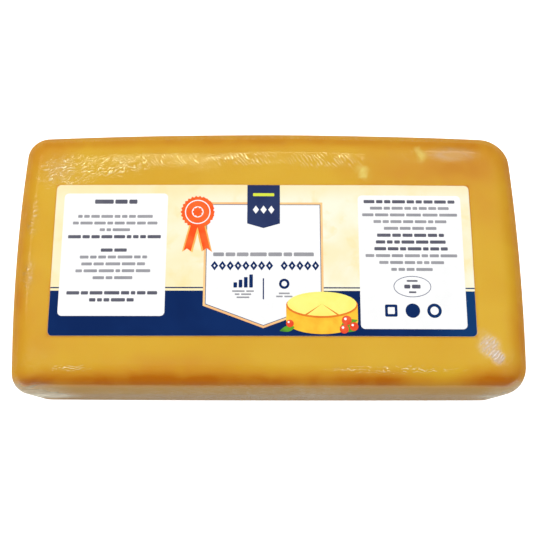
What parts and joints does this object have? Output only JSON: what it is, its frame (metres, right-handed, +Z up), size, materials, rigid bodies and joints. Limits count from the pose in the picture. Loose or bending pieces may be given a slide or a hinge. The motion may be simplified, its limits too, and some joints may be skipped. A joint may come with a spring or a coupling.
{
  "type": "smoked kashkaval cheese block",
  "caption": "Catering block of smoked kashkaval cheese, vacuum-packed in clear clinging film, with a plain printed paper label on its upper face.",
  "frame": {"origin": "under the middle of the block, on the surface it lies on", "axes": "+X along the block's length, +Y to its back, +Z up through the labelled upper face"},
  "size_m": [0.289, 0.154, 0.0687],
  "materials": {
    "cheese": "smoked amber rind, smooth and a little waxy, with soft paler patches and darker shoulders",
    "film": "clear shrink film clinging to the cheese, glossy, with fine creases at the corners and shoulders",
    "label_paper": "smooth printed label paper, cream and white fields over a dark blue band, slightly satin"
  },
  "bodies": {
    "root": {"pack": "cheese", "label": "label_paper"}
  },
  "joints": []
}
